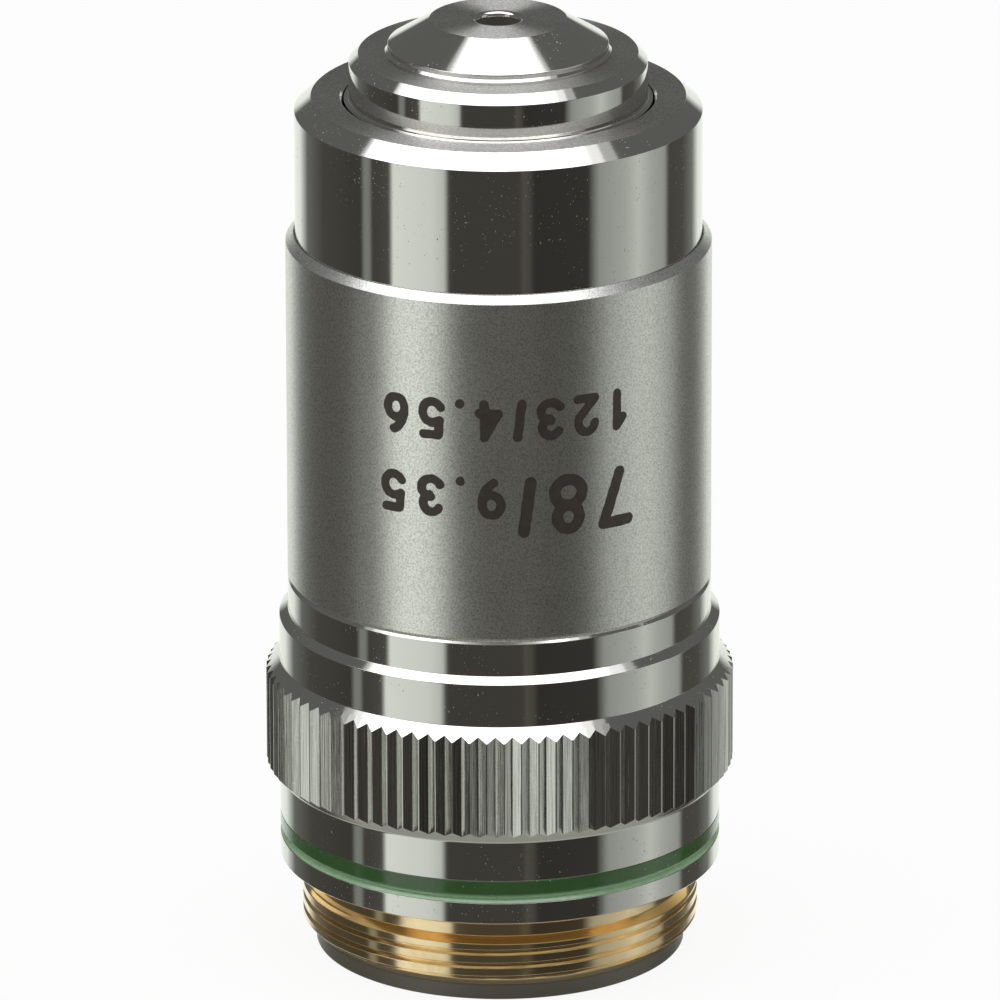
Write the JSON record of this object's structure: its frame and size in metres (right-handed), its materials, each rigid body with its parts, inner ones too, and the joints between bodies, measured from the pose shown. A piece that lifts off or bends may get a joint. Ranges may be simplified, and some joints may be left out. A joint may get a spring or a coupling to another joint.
{
  "type": "microscope objective",
  "caption": "Spring-loaded microscope objective with a knurled grip, satin label sleeve, green colour ring, retracting lens nose and brass screw mount.",
  "frame": {"origin": "where the optical axis crosses the mounting shoulder, the plane from which the parfocal distance is measured", "axes": "+Z along the optical axis, from the mounting thread to the lens nose; the label faces -Y"},
  "size_m": [0.0238, 0.0238, 0.0491],
  "materials": {
    "chrome": "polished chrome plate",
    "satin_chrome": "fine satin",
    "green_enamel": "glossy enamel",
    "black_metal": "matt black",
    "brass": "turned",
    "steel": "bright",
    "crown_glass": "polished, coated",
    "flint_glass": "polished, coated"
  },
  "bodies": {
    "barrel": {"mount_body": "chrome", "colour_ring": "green_enamel", "rear_ring": "black_metal", "label_sleeve": "satin_chrome", "front_barrel": "chrome", "parfocal_shim": "brass", "set_screws": "steel", "guide_screw": "steel", "spring_washer": "steel", "return_spring": "steel"},
    "nose": {"nose_sleeve": "chrome", "front_cell": "chrome", "front_lens": "crown_glass", "front_lens_ring": "black_metal", "middle_cell": "black_metal", "middle_flint": "flint_glass", "middle_crown": "crown_glass", "middle_lens_ring": "black_metal", "centre_spacer": "black_metal", "rear_cell": "black_metal", "rear_flint": "flint_glass", "rear_crown": "crown_glass", "rear_lens_ring": "black_metal", "aperture_stop": "black_metal", "stack_ring": "black_metal"}
  },
  "joints": [
    {"name": "nose_retract", "type": "slide", "parent": "barrel", "child": "nose", "axis": [0, 0, 1], "range_m": [-0.003, 0], "stiffness_N_per_m": 400, "springref_m": 0.006, "deforming": ["return_spring"]}
  ]
}
